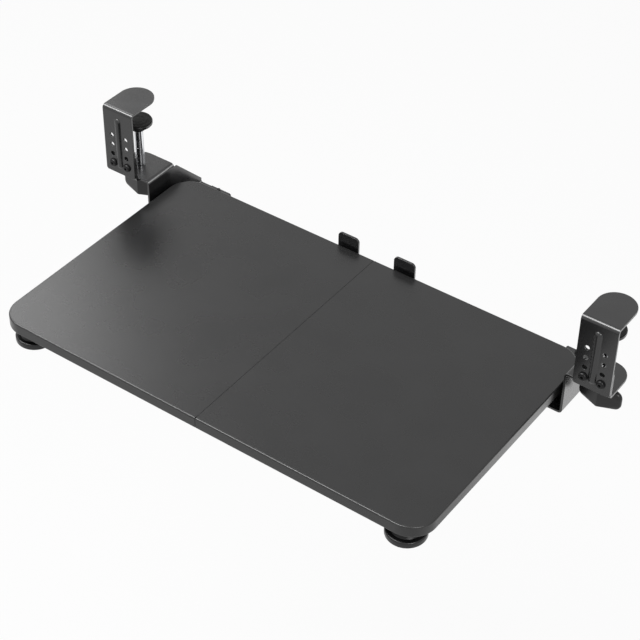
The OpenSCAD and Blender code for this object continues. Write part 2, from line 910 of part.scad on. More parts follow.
color(rubber_black) foot_sole(1);  // right_foot_sole
color(screw_black) foot_screws();
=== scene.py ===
"""Looks of a sliding tray that hangs from two screw clamps.

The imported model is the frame. Pieces whose edges or surface need more than the frame gives are modelled
here and stand for their nodes; every other node keeps its mesh and gets its finish here. Lengths are in
metres.
"""

import json
import math

import bmesh
import bpy
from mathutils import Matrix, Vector

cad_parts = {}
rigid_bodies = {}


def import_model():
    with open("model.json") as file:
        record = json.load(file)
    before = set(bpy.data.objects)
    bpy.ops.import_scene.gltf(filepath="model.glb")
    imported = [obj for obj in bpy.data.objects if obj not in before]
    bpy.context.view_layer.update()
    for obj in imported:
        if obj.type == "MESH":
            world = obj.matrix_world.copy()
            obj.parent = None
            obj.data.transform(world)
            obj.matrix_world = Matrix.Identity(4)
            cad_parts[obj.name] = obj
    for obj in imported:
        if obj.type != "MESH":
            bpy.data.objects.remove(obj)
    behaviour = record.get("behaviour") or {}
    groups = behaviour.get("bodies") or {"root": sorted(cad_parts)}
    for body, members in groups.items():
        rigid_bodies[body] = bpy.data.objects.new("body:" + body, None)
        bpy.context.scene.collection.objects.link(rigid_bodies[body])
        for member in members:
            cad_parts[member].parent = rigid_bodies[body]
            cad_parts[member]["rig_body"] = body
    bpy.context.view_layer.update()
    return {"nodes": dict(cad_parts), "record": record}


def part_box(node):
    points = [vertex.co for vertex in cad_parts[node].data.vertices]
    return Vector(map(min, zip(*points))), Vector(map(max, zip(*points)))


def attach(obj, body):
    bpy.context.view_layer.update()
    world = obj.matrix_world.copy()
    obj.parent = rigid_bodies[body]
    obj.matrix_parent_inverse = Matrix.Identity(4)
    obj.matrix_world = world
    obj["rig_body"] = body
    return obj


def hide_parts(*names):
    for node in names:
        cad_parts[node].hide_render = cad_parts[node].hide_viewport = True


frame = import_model()
nodes = frame["nodes"]

MM = 0.001
SIDES = ("left", "right")
SLOT = {part["node"]: part["material_slot"] for part in frame["record"]["subparts"]}

# Distances within which places count as the same and vertices are merged
NEAR = 0.1 * MM
TOUCH = 0.01 * MM
WELD = 0.002 * MM
FINE_WELD = 0.0005 * MM
THREAD_WELD = 0.005 * MM

HEXAGON = 6

# Share of a normal along Z from which a face counts as level, and up to which it counts as upright
LEVEL = 0.9
UPRIGHT = 0.5


# Working on a mesh

def select_only(piece):
    bpy.ops.object.select_all(action="DESELECT")
    bpy.context.view_layer.objects.active = piece
    piece.select_set(True)


def open_mesh(piece):
    select_only(piece)
    bpy.ops.object.mode_set(mode="EDIT")


def open_whole(piece):
    """Opens the mesh with everything in it selected."""
    open_mesh(piece)
    bpy.ops.mesh.select_all(action="SELECT")


def close_mesh():
    bpy.ops.object.mode_set(mode="OBJECT")


def pick(piece, kind, wanted):
    """Selects the vertices, edges or faces of an open mesh that the test wants."""
    bpy.ops.mesh.select_mode(type=kind)
    bpy.ops.mesh.select_all(action="DESELECT")
    mesh = bmesh.from_edit_mesh(piece.data)
    parts = {"VERT": mesh.verts, "EDGE": mesh.edges, "FACE": mesh.faces}[kind]
    for part in parts:
        if wanted(part):
            part.select_set(True)
    mesh.select_flush_mode()
    bmesh.update_edit_mesh(piece.data)


def extrude(height):
    """Draws the selected face of an open mesh up or down."""
    bpy.ops.mesh.extrude_region_move(TRANSFORM_OT_translate={"value": (0, 0, height)})


def faces_up(face):
    return face.normal.z > LEVEL


def faces_down(face):
    return face.normal.z < -LEVEL


def rise(edge):
    """Height between an edge's two ends."""
    return abs(edge.verts[0].co.z - edge.verts[1].co.z)


def middle(box):
    low, high = box
    return (Vector(low) + Vector(high)) / 2


def size(box):
    low, high = box
    return Vector(high) - Vector(low)


def round_node(node):
    """Low corner, high corner, middle and radius of an upright round node."""
    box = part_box(node)
    low, high = box
    return low, high, middle(box), size(box).x / 2


def turned_blank(name, radius, low, high, place, corners=64):
    """A cylinder blank between two heights, on the axis at place."""
    bpy.ops.object.select_all(action="DESELECT")
    bpy.ops.mesh.primitive_cylinder_add(
        vertices=corners, radius=radius, depth=high - low, location=(place[0], place[1], (low + high) / 2)
    )
    piece = bpy.context.object
    piece.name = name
    apply_place(piece)
    return piece


def block_blank(name, low, high):
    """A box blank between two corners."""
    bpy.ops.object.select_all(action="DESELECT")
    bpy.ops.mesh.primitive_cube_add(size=1, location=middle((low, high)))
    piece = bpy.context.object
    piece.name = name
    piece.scale = size((low, high))
    apply_place(piece)
    return piece


def apply_place(piece):
    """Moves the piece's place, turn and scale into its mesh."""
    select_only(piece)
    bpy.ops.object.transform_apply(location=True, rotation=True, scale=True)


def apply_modifier(piece, modifier):
    select_only(piece)
    bpy.ops.object.modifier_apply(modifier=modifier.name)


def soften(piece, width, segments=3, angle=35):
    """Rounds every edge that is sharper than the angle."""
    bevel = piece.modifiers.new("rounded edges", "BEVEL")
    bevel.width = width
    bevel.segments = segments
    bevel.limit_method = "ANGLE"
    bevel.angle_limit = math.radians(angle)
    bevel.use_clamp_overlap = False
    apply_modifier(piece, bevel)


def combine(piece, other, operation):
    """Changes the piece by the other shape and drops that shape."""
    boolean = piece.modifiers.new("combine", "BOOLEAN")
    boolean.operation = operation
    boolean.solver = "EXACT"
    boolean.object = other
    apply_modifier(piece, boolean)
    bpy.data.objects.remove(other)


def cut_away(piece, cutter):
    combine(piece, cutter, "DIFFERENCE")


def trim_to(piece, envelope):
    combine(piece, envelope, "INTERSECT")


def add_on(piece, addition):
    combine(piece, addition, "UNION")


def joined(name, pieces):
    """One object made of several."""
    select_only(pieces[0])
    for piece in pieces[1:]:
        piece.select_set(True)
    bpy.ops.object.join()
    whole = bpy.context.object
    whole.name = name
    return whole


def copy_at(pattern, shift, name):
    piece = bpy.data.objects.new(name, pattern.data.copy())
    bpy.context.scene.collection.objects.link(piece)
    piece.location = shift
    apply_place(piece)
    return piece


def mirrored(pattern, name):
    """The piece's mirror image on the other side of the middle plane."""
    piece = copy_at(pattern, (0, 0, 0), name)
    piece.scale = (-1, 1, 1)
    apply_place(piece)
    face_outwards(piece)
    return piece


def face_outwards(piece):
    open_whole(piece)
    bpy.ops.mesh.normals_make_consistent(inside=False)
    close_mesh()


# Angle up to which neighbouring faces are one flat face
COPLANAR = math.radians(0.4)


def merged_copy(node):
    """The node's own shape as one closed mesh of flat faces, ready for rounding."""
    piece = bpy.data.objects.new(node + "_finished", nodes[node].data.copy())
    bpy.context.scene.collection.objects.link(piece)
    select_only(piece)
    bpy.ops.mesh.customdata_custom_splitnormals_clear()
    open_whole(piece)
    bpy.ops.mesh.remove_doubles(threshold=WELD)
    bpy.ops.mesh.dissolve_limited(angle_limit=COPLANAR)
    close_mesh()
    return piece


# How strongly large flat faces decide the shading of the edges next to them
FLAT_WEIGHT = 80


def hand_over(piece, node, smooth=38):
    """The piece stands for its node, moves with the node's body and takes the finish of its slot."""
    piece.data.materials.clear()
    piece.data.materials.append(FINISH[SLOT[node]])
    select_only(piece)
    bpy.ops.object.shade_smooth_by_angle(angle=math.radians(smooth))
    even = piece.modifiers.new("even shading", "WEIGHTED_NORMAL")
    even.keep_sharp = True
    even.weight = FLAT_WEIGHT
    apply_modifier(piece, even)
    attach(piece, nodes[node]["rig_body"])
    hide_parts(node)


# Finishes

# Values of a noise pattern over which a shade or a roughness goes from its low to its high end
PATTERN_LOW = 0.3
PATTERN_HIGH = 0.7


def new_finish(name, colour, roughness, metallic=0.0, specular=0.5):
    finish = bpy.data.materials.new(name)
    finish.use_nodes = True
    shader = finish.node_tree.nodes["Principled BSDF"]
    shader.inputs["Base Color"].default_value = (*colour, 1)
    shader.inputs["Roughness"].default_value = roughness
    shader.inputs["Metallic"].default_value = metallic
    shader.inputs["Specular IOR Level"].default_value = specular
    return finish, finish.node_tree, shader


def add_node(tree, kind, **values):
    node = tree.nodes.new(kind)
    for key, value in values.items():
        if key in node.inputs:
            node.inputs[key].default_value = value
        else:
            setattr(node, key, value)
    return node


def object_place(tree, scale=(1, 1, 1)):
    """The point on the object in metres, stretched by the scale."""
    place = add_node(tree, "ShaderNodeTexCoord")
    mapping = add_node(tree, "ShaderNodeMapping", Scale=scale)
    tree.links.new(place.outputs["Object"], mapping.inputs["Vector"])
    return mapping.outputs["Vector"]


def noise(tree, place, scale, detail=2.0, roughness=0.5):
    pattern = add_node(tree, "ShaderNodeTexNoise", Scale=scale, Detail=detail, Roughness=roughness)
    tree.links.new(place, pattern.inputs["Vector"])
    return pattern.outputs["Fac"]


def tint(tree, shader, pattern, dark, light):
    """Colours the finish from a dark to a light shade along a pattern."""
    ramp = add_node(tree, "ShaderNodeValToRGB")
    ramp.color_ramp.elements[0].position = PATTERN_LOW
    ramp.color_ramp.elements[0].color = (*dark, 1)
    ramp.color_ramp.elements[1].position = PATTERN_HIGH
    ramp.color_ramp.elements[1].color = (*light, 1)
    tree.links.new(pattern, ramp.inputs["Fac"])
    tree.links.new(ramp.outputs["Color"], shader.inputs["Base Color"])


def roughen(tree, shader, pattern, low, high):
    """Spreads the finish's roughness over a range along a pattern."""
    spread = add_node(tree, "ShaderNodeMapRange")
    spread.inputs["From Min"].default_value = PATTERN_LOW
    spread.inputs["From Max"].default_value = PATTERN_HIGH
    spread.inputs["To Min"].default_value = low
    spread.inputs["To Max"].default_value = high
    tree.links.new(pattern, spread.inputs["Value"])
    tree.links.new(spread.outputs["Result"], shader.inputs["Roughness"])


def relief(tree, shader, height, depth, strength):
    bump = add_node(tree, "ShaderNodeBump", Strength=strength, Distance=depth)
    tree.links.new(height, bump.inputs["Height"])
    tree.links.new(bump.outputs["Normal"], shader.inputs["Normal"])


def powder_coat():
    colour = (0.008, 0.008, 0.0083)
    finish, tree, shader = new_finish("satin black powder coat", colour, 0.26, specular=0.64)
    place = object_place(tree)
    cloud = noise(tree, place, scale=45, detail=3)
    peel = noise(tree, place, scale=1300, detail=2)
    tint(tree, shader, cloud, dark=(0.006, 0.006, 0.0063), light=(0.01, 0.01, 0.0104))
    roughen(tree, shader, cloud, low=0.24, high=0.28)
    relief(tree, shader, peel, depth=0.02 * MM, strength=0.2)
    return finish


def laminate():
    finish, tree, shader = new_finish("satin black laminate", (0.009, 0.009, 0.0092), 0.3)
    place = object_place(tree)
    cloud = noise(tree, place, scale=22, detail=4)
    grain = noise(tree, place, scale=2600, detail=2, roughness=0.6)
    tint(tree, shader, cloud, dark=(0.0075, 0.0075, 0.0077), light=(0.0105, 0.0105, 0.0108))
    roughen(tree, shader, cloud, low=0.265, high=0.285)
    relief(tree, shader, grain, depth=0.01 * MM, strength=0.15)
    return finish


def edge_strip():
    finish, tree, shader = new_finish("black edge band", (0.011, 0.011, 0.011), 0.36)
    place = object_place(tree)
    cloud = noise(tree, place, scale=60, detail=3)
    grain = noise(tree, place, scale=1800, detail=2)
    tint(tree, shader, cloud, dark=(0.009, 0.009, 0.009), light=(0.013, 0.013, 0.013))
    roughen(tree, shader, cloud, low=0.27, high=0.33)
    relief(tree, shader, grain, depth=0.02 * MM, strength=0.2)
    return finish


def moulded_nylon():
    finish, tree, shader = new_finish("moulded black nylon", (0.009, 0.009, 0.0094), 0.4, specular=0.36)
    place = object_place(tree)
    cloud = noise(tree, place, scale=80, detail=3)
    spark = noise(tree, place, scale=2400, detail=1)
    tint(tree, shader, cloud, dark=(0.007, 0.007, 0.0073), light=(0.012, 0.012, 0.0124))
    roughen(tree, shader, cloud, low=0.28, high=0.36)
    relief(tree, shader, spark, depth=0.04 * MM, strength=0.4)
    return finish


def natural_nylon():
    finish, tree, shader = new_finish("natural nylon", (0.7, 0.69, 0.64), 0.45)
    place = object_place(tree)
    cloud = noise(tree, place, scale=120, detail=3)
    grain = noise(tree, place, scale=1500, detail=2)
    tint(tree, shader, cloud, dark=(0.64, 0.63, 0.57), light=(0.74, 0.73, 0.68))
    roughen(tree, shader, cloud, low=0.38, high=0.52)
    relief(tree, shader, grain, depth=0.03 * MM, strength=0.3)
    return finish


def soft_rubber():
    finish, tree, shader = new_finish("black rubber", (0.014, 0.014, 0.014), 0.75, specular=0.35)
    place = object_place(tree)
    cloud = noise(tree, place, scale=90, detail=4)
    grain = noise(tree, place, scale=1700, detail=3)
    tint(tree, shader, cloud, dark=(0.011, 0.011, 0.011), light=(0.019, 0.019, 0.018))
    roughen(tree, shader, cloud, low=0.66, high=0.84)
    relief(tree, shader, grain, depth=0.08 * MM, strength=0.5)
    return finish


def bright_chrome():
    finish, tree, shader = new_finish("bright chrome", (0.55, 0.556, 0.57), 0.1, metallic=1.0)
    place = object_place(tree)
    haze = noise(tree, place, scale=150, detail=3)
    tint(tree, shader, haze, dark=(0.52, 0.526, 0.54), light=(0.58, 0.586, 0.6))
    roughen(tree, shader, haze, low=0.07, high=0.16)
    return finish


def zinc_plate():
    finish, tree, shader = new_finish("zinc plate", (0.55, 0.56, 0.58), 0.35, metallic=1.0)
    rolled = object_place(tree, scale=(1, 0.05, 1))
    place = object_place(tree)
    streak = noise(tree, rolled, scale=700, detail=3)
    cloud = noise(tree, place, scale=55, detail=4)
    tint(tree, shader, cloud, dark=(0.48, 0.49, 0.51), light=(0.6, 0.61, 0.63))
    roughen(tree, shader, streak, low=0.28, high=0.44)
    relief(tree, shader, streak, depth=0.02 * MM, strength=0.3)
    return finish


def black_oxide():
    colour = (0.01, 0.01, 0.0105)
    finish, tree, shader = new_finish("black oxide steel", colour, 0.3, metallic=0.2, specular=0.25)
    place = object_place(tree)
    cloud = noise(tree, place, scale=260, detail=3)
    tint(tree, shader, cloud, dark=(0.008, 0.008, 0.0084), light=(0.013, 0.013, 0.0136))
    roughen(tree, shader, cloud, low=0.26, high=0.36)
    return finish


def beech_wood():
    finish, tree, shader = new_finish("bare beech", (0.55, 0.36, 0.2), 0.6)
    along = object_place(tree, scale=(0.12, 1, 1))
    fibre = noise(tree, along, scale=900, detail=4)
    tint(tree, shader, fibre, dark=(0.45, 0.28, 0.15), light=(0.62, 0.42, 0.25))
    roughen(tree, shader, fibre, low=0.5, high=0.7)
    relief(tree, shader, fibre, depth=0.05 * MM, strength=0.3)
    return finish


FINISH = {
    "powder_coat": powder_coat(),
    "laminate": laminate(),
    "edge_band": edge_strip(),
    "moulded": moulded_nylon(),
    "nylon": natural_nylon(),
    "soft_pad": soft_rubber(),
    "chrome_rod": bright_chrome(),
    "zinc": zinc_plate(),
    "black_screw": black_oxide(),
    "beech": beech_wood(),
}

for name, node in nodes.items():
    node.data.materials.clear()
    node.data.materials.append(FINISH[SLOT[name]])


# Bent sheet: hooks, brackets, stops, joint plates and slides

SHEET_EDGE = 0.3 * MM
THIN_SHEET_EDGE = 0.2 * MM
SHEET_PAIRS = ("hook", "bracket", "rear_stop")
THIN_SHEET_PAIRS = ("carriage", "runner")
JOINT_PLATES = ("front_joint_plate", "rear_joint_plate")


def finish_pair(kind, edge, segments=3):
    """Rounds the right-hand piece's edges and mirrors it for the left."""
    right = merged_copy("right_" + kind)
    soften(right, edge, segments)
    left = mirrored(right, "left_" + kind + "_finished")
    hand_over(right, "right_" + kind)
    hand_over(left, "left_" + kind)


def finish_sheet():
    for kind in SHEET_PAIRS:
        finish_pair(kind, SHEET_EDGE)
    for kind in THIN_SHEET_PAIRS:
        finish_pair(kind, THIN_SHEET_EDGE, segments=2)
    for node in JOINT_PLATES:
        piece = merged_copy(node)
        soften(piece, SHEET_EDGE)
        hand_over(piece, node)


# Slide liners and stop caps

LINER_EDGE = 0.25 * MM
CAP_EDGE = 0.6 * MM


def finish_slide_plastics():
    finish_pair("liners", LINER_EDGE, segments=2)
    finish_pair("runner_cap", CAP_EDGE)


# Boards and their edge bands

BOARD_EDGE = 0.1 * MM
BOARD_EDGE_ANGLE = 60
BAND_EDGE = 1.5 * MM
BAND_EDGE_STEPS = 6
SEAM_EDGE = 0.3 * MM
SEAM_EDGE_STEPS = 2
CORNER_STEPS = 20
# Angle in radians above which an edge counts as sharp
SHARP = 1


def outer_x(low, high):
    """Where a half tray's outer side lies, away from the seam."""
    return high.x if high.x > abs(low.x) else low.x


def seam_x(low, high):
    return low.x if high.x > abs(low.x) else high.x


def corner_radius(node):
    """Radius of a half tray's outer corners, from where its front edge starts to curve."""
    low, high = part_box(node)
    front = [v.co.x for v in nodes[node].data.vertices if abs(v.co.y - low.y) < TOUCH]
    return min(abs(outer_x(low, high) - x) for x in front)


def half_tray_blank(node, name):
    """A block of the node's size, with its two outer corners rounded."""
    low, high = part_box(node)
    side = outer_x(low, high)
    piece = block_blank(name, low, high)
    open_mesh(piece)
    pick(piece, "EDGE", lambda e: rise(e) > MM and all(abs(v.co.x - side) < NEAR for v in e.verts))
    bpy.ops.mesh.bevel(offset=corner_radius(node), segments=CORNER_STEPS, affect="EDGES")
    close_mesh()
    return piece


def make_board(side):
    node = side + "_board"
    piece = half_tray_blank(node, node + "_finished")
    soften(piece, BOARD_EDGE, segments=2, angle=BOARD_EDGE_ANGLE)
    hand_over(piece, node)


def make_edge_band(side):
    """A strip around the three outer sides of a board."""
    node = side + "_edge_band"
    low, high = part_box(node)
    board_low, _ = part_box(side + "_board")
    seam = seam_x(low, high)
    piece = half_tray_blank(node, node + "_finished")
    open_mesh(piece)
    pick(piece, "FACE", lambda f: abs(f.normal.z) > LEVEL or abs(f.calc_center_median().x - seam) < NEAR)
    bpy.ops.mesh.delete(type="FACE")
    close_mesh()
    wall = piece.modifiers.new("thickness", "SOLIDIFY")
    wall.thickness = board_low.y - low.y
    wall.offset = -1
    wall.use_even_offset = True
    apply_modifier(piece, wall)
    open_mesh(piece)
    pick(piece, "EDGE", lambda e: is_outer_rim(e, low, high))
    bpy.ops.mesh.bevel(offset=BAND_EDGE, segments=BAND_EDGE_STEPS, affect="EDGES")
    pick(piece, "EDGE", lambda e: rise(e) > MM and all(is_seam_corner(v, low, high) for v in e.verts))
    bpy.ops.mesh.bevel(offset=SEAM_EDGE, segments=SEAM_EDGE_STEPS, affect="EDGES")
    close_mesh()
    hand_over(piece, node)


def is_outer_rim(edge, low, high):
    """True for a level sharp edge on the outer face of a half tray's band."""
    if edge.is_boundary or edge.calc_face_angle(0) <= SHARP or rise(edge) >= NEAR:
        return False
    normals = [f.normal for f in edge.link_faces if abs(f.normal.z) < UPRIGHT]
    if not normals:
        return False
    centre = Vector(((low.x + high.x) / 2, (low.y + high.y) / 2, 0))
    spot = (edge.verts[0].co + edge.verts[1].co) / 2
    return normals[0].dot(spot - centre) > 0


def is_seam_corner(vert, low, high):
    """True for a vertex on the front or rear of a half tray's band, right at the seam."""
    on_face = min(abs(vert.co.y - low.y), abs(vert.co.y - high.y)) < NEAR
    return on_face and abs(vert.co.x - seam_x(low, high)) < NEAR


# Clamp screws

THREAD_STEPS = 40
THREAD_CUTS = 15
THREAD_DEPTH = 0.28 * MM
THREAD_LEAD = 2 * MM
# Shares of the lead at which a groove starts and ends
GROOVE_START = 0.72
GROOVE_END = 0.96
# Keeps the square end cuts off the thread's own corners
THREAD_START = 0.012 * MM
# Turns wound beyond the rod's length, and those of them below its lower end
SPARE_TURNS = 3
TURNS_BELOW = 2
PLAIN_END = 22.5 * MM
SHANK_STEPS = 54
SHANK_RELIEF = 0.06 * MM
SHANK_EDGE = 0.7 * MM
# Share of the rod's radius beyond which a vertex lies on its full width
FULL_WIDTH = 0.97
NECK_RATIO = 0.6
BUTTON_RATIO = 0.84
BUTTON_HEIGHT = 3.8 * MM
BUTTON_EDGE = 0.4 * MM
THREAD_GAP = 0.05 * MM
SWIVEL_GAP = 0.2 * MM


def make_clamp_rod(side):
    """A threaded rod with wide polished crests, a plain end and a swivel button on a neck."""
    node = side + "_clamp_rod"
    low, high, axis, radius = round_node(node)
    top = rod_shoulder(node, radius, axis)
    thread_top = top - PLAIN_END
    piece = thread_along(node + "_finished", radius, low.z, thread_top, axis)
    shank = turned_blank(
        node + "_shank", radius - SHANK_RELIEF, thread_top - THREAD_LEAD, top, axis, SHANK_STEPS
    )
    soften(shank, SHANK_EDGE)
    neck = turned_blank(
        node + "_neck", radius * NECK_RATIO, thread_top, high.z - BUTTON_HEIGHT / 2, axis, THREAD_STEPS
    )
    button = turned_blank(
        node + "_button", radius * BUTTON_RATIO, high.z - BUTTON_HEIGHT, high.z, axis, THREAD_STEPS
    )
    soften(button, BUTTON_EDGE, segments=2)
    for addition in (shank, neck, button):
        add_on(piece, addition)
    open_whole(piece)
    bpy.ops.mesh.remove_doubles(threshold=FINE_WELD)
    close_mesh()
    hand_over(piece, node)


def rod_shoulder(node, radius, axis):
    """Height of the rod's full-width upper end."""
    spots = [v.co for v in nodes[node].data.vertices]
    return max(p.z for p in spots if math.hypot(p.x - axis.x, p.y - axis.y) > radius * FULL_WIDTH)


def thread_along(name, radius, low, high, axis):
    """One turn's profile, wound past both ends of a rod and cut off square there."""
    piece = wound_profile(name, radius, math.ceil((high - low) / THREAD_LEAD) + SPARE_TURNS)
    piece.location = (axis.x, axis.y, low - TURNS_BELOW * THREAD_LEAD + THREAD_START)
    apply_place(piece)
    open_whole(piece)
    bpy.ops.mesh.remove_doubles(threshold=THREAD_WELD)
    for height, below in ((low, True), (high, False)):
        bpy.ops.mesh.select_all(action="SELECT")
        bpy.ops.mesh.bisect(
            plane_co=(axis.x, axis.y, height), plane_no=(0, 0, 1), use_fill=True,
            clear_inner=below, clear_outer=not below, threshold=FINE_WELD
        )
    close_mesh()
    face_outwards(piece)
    return piece


def wound_profile(name, radius, turns):
    """The thread's profile over one lead, wound around the Z axis."""
    bpy.ops.object.select_all(action="DESELECT")
    bpy.ops.mesh.primitive_plane_add(size=THREAD_LEAD, location=(0, 0, 0), rotation=(math.pi / 2, 0, 0))
    piece = bpy.context.object
    piece.name = name
    apply_place(piece)
    open_mesh(piece)
    pick(piece, "VERT", lambda v: v.co.x > 0)
    bpy.ops.mesh.delete(type="VERT")
    bpy.ops.mesh.select_all(action="SELECT")
    bpy.ops.mesh.subdivide(number_cuts=THREAD_CUTS)
    bpy.ops.transform.translate(value=(radius + THREAD_LEAD / 2, 0, THREAD_LEAD / 2))
    pick(piece, "VERT", lambda v: GROOVE_START * THREAD_LEAD < v.co.z < GROOVE_END * THREAD_LEAD)
    bpy.ops.transform.translate(value=(-THREAD_DEPTH, 0, 0))
    close_mesh()
    wind = piece.modifiers.new("thread", "SCREW")
    wind.axis = "Z"
    wind.angle = 2 * math.pi
    wind.screw_offset = THREAD_LEAD
    wind.iterations = turns
    wind.steps = THREAD_STEPS
    wind.render_steps = THREAD_STEPS
    apply_modifier(piece, wind)
    return piece


KNOB_LENGTH = 46 * MM
KNOB_WIDTH = 16 * MM
KNOB_TIP_ROUND = 3.25 * MM
KNOB_TIP_SEGMENTS = 32
KNOB_TIP_RINGS = 16
KNOB_RIDGE_ROUND = 3 * MM
KNOB_RIDGE_CORNERS = 40
KNOB_WING_ROUND = 8 * MM
KNOB_WING_STEPS = 7
KNOB_EDGE = 0.8 * MM
KNOB_EDGE_STEPS = 4
KNOB_DISH = 1.2 * MM
KNOB_DISH_EDGE = 0.6 * MM
# Share of the knob's length that the dish takes, and how slim the dish is beside that
KNOB_DISH_SCALE = 0.72
KNOB_DISH_SLIM = 0.7
KNOB_SKIN_FLAT = math.radians(0.6)
KNOB_TURN = {"left": math.radians(2), "right": 0.0}


def make_knob(side):
    """A wing knob: a skin over two ridges and two round wing ends, dished below and bored from above."""
    node = side + "_knob"
    low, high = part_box(node)
    axis = middle((low, high))
    shapes = knob_ridges(node, low, high, axis) + wing_ends(node, low, high, axis)
    piece = joined(node + "_finished", shapes)
    stretch_skin(piece)
    cut_away(piece, knob_dish(node, low, axis))
    rod_low, _, _, rod_radius = round_node(side + "_clamp_rod")
    cut_away(piece, turned_blank(node + "_bore", rod_radius, rod_low.z, high.z + MM, axis, THREAD_STEPS))
    open_whole(piece)
    bpy.ops.transform.rotate(value=-KNOB_TURN[side], orient_axis="Z", center_override=axis)
    close_mesh()
    hand_over(piece, node)


def knob_ridges(node, low, high, axis):
    """The two upright round ridges of a knob."""
    ridges = []
    for way in (-1, 1):
        place = (axis.x, axis.y + way * (KNOB_WIDTH / 2 - KNOB_RIDGE_ROUND))
        ridge = turned_blank(node + "_ridge", KNOB_RIDGE_ROUND, low.z, high.z, place, KNOB_RIDGE_CORNERS)
        soften(ridge, KNOB_EDGE, segments=KNOB_EDGE_STEPS)
        ridges.append(ridge)
    return ridges


def wing_ends(node, low, high, axis):
    """Balls along the rounded ends of both wings."""
    bpy.ops.object.select_all(action="DESELECT")
    bpy.ops.mesh.primitive_uv_sphere_add(
        segments=KNOB_TIP_SEGMENTS, ring_count=KNOB_TIP_RINGS, radius=KNOB_TIP_ROUND
    )
    ball = bpy.context.object
    sweep = KNOB_WING_ROUND - KNOB_TIP_ROUND
    reach = KNOB_LENGTH / 2 - KNOB_WING_ROUND
    lift = (high.z - low.z) / 2 - KNOB_WING_ROUND
    turns = [math.pi / 2 * step / (KNOB_WING_STEPS - 1) for step in range(KNOB_WING_STEPS)]
    balls = []
    for along in (-1, 1):
        for up in (-1, 1):
            for turn in turns:
                out = along * (reach + sweep * math.cos(turn))
                shift = Vector((out, 0, up * (lift + sweep * math.sin(turn))))
                balls.append(copy_at(ball, axis + shift, node + "_ball"))
    bpy.data.objects.remove(ball)
    return balls


def stretch_skin(piece):
    """Leaves only the tight skin around all parts of the piece."""
    open_whole(piece)
    bpy.ops.mesh.convex_hull()
    bpy.ops.mesh.select_all(action="SELECT")
    bpy.ops.mesh.dissolve_limited(angle_limit=KNOB_SKIN_FLAT)
    close_mesh()


def knob_dish(node, low, axis):
    """The oval hollow under a knob, as a cutter."""
    dish = turned_blank(node + "_dish", KNOB_WIDTH / 2, low.z - KNOB_DISH, low.z + KNOB_DISH, axis)
    long = KNOB_DISH_SCALE * KNOB_LENGTH / KNOB_WIDTH
    wide = KNOB_DISH_SCALE * KNOB_DISH_SLIM
    open_whole(dish)
    bpy.ops.transform.resize(value=(long, wide, 1), center_override=axis)
    close_mesh()
    soften(dish, KNOB_DISH_EDGE)
    return dish


SOCKET_RADIUS = 8 * MM
SOCKET_HEIGHT = 7 * MM
SOCKET_FLARE = 1.5 * MM
PAD_EDGE = 0.5 * MM
PAD_EDGE_ANGLE = 40


def make_clamp_pad(side):
    """A steel disc with a swivel socket under it, hollow for the rod's neck and button."""
    node = side + "_clamp_pad"
    low, high, axis, radius = round_node(node)
    piece = turned_blank(node + "_finished", radius, low.z + SOCKET_HEIGHT, high.z, axis)
    ratio = SOCKET_RADIUS / (SOCKET_RADIUS + SOCKET_FLARE)
    open_mesh(piece)
    pick(piece, "FACE", faces_down)
    bpy.ops.mesh.inset(thickness=radius - SOCKET_RADIUS - SOCKET_FLARE)
    extrude(-SOCKET_FLARE)
    bpy.ops.transform.resize(value=(ratio, ratio, 1), center_override=(axis.x, axis.y, low.z))
    extrude(SOCKET_FLARE - SOCKET_HEIGHT)
    close_mesh()
    soften(piece, PAD_EDGE, angle=PAD_EDGE_ANGLE)
    _, rod_high, _, rod_radius = round_node(side + "_clamp_rod")
    room_low = rod_high.z - BUTTON_HEIGHT - SWIVEL_GAP
    room_high = rod_high.z + SWIVEL_GAP
    hole = rod_radius * NECK_RATIO + THREAD_GAP
    room = rod_radius * BUTTON_RATIO + SWIVEL_GAP
    cut_away(piece, turned_blank(node + "_hole", hole, low.z - MM, room_high, axis, THREAD_STEPS))
    cut_away(piece, turned_blank(node + "_room", room, room_low, room_high, axis, THREAD_STEPS))
    hand_over(piece, node)


# Corners beyond which a level face is the plain middle of a disc
DISC_CORNERS = 32
FACE_RING_GAPS = (2.5 * MM, 3.5 * MM)
FACE_RING_SLOPE = 0.9 * MM
FACE_RING_DEPTH = 0.5 * MM
FACE_EDGE = 0.25 * MM
SOFT_EDGE_ANGLE = 50


def cut_rings(piece, faces_out, gaps, slope, depth):
    """Presses ring grooves into the plain side of an open disc, each in from the one before."""
    for gap in gaps:
        pick(piece, "FACE", lambda f: faces_out(f) and len(f.verts) > DISC_CORNERS)
        bpy.ops.mesh.inset(thickness=gap)
        bpy.ops.mesh.inset(thickness=slope, depth=-depth)
        bpy.ops.mesh.inset(thickness=slope, depth=depth)


def make_pad_face(side):
    """A soft disc with two grip rings."""
    node = side + "_pad_face"
    low, high, axis, radius = round_node(node)
    piece = turned_blank(node + "_finished", radius, low.z, high.z, axis)
    open_mesh(piece)
    cut_rings(piece, faces_up, FACE_RING_GAPS, FACE_RING_SLOPE, FACE_RING_DEPTH)
    close_mesh()
    soften(piece, FACE_EDGE, segments=2, angle=SOFT_EDGE_ANGLE)
    hand_over(piece, node)


NUT_SMOOTH = 25
NUT_TURNING = 0.16
NUT_TURNING_STEPS = 3
NUT_TURNING_CORNERS = 48
NUT_TURNING_RATIO = 1.01
NUT_BORE_CORNERS = 32


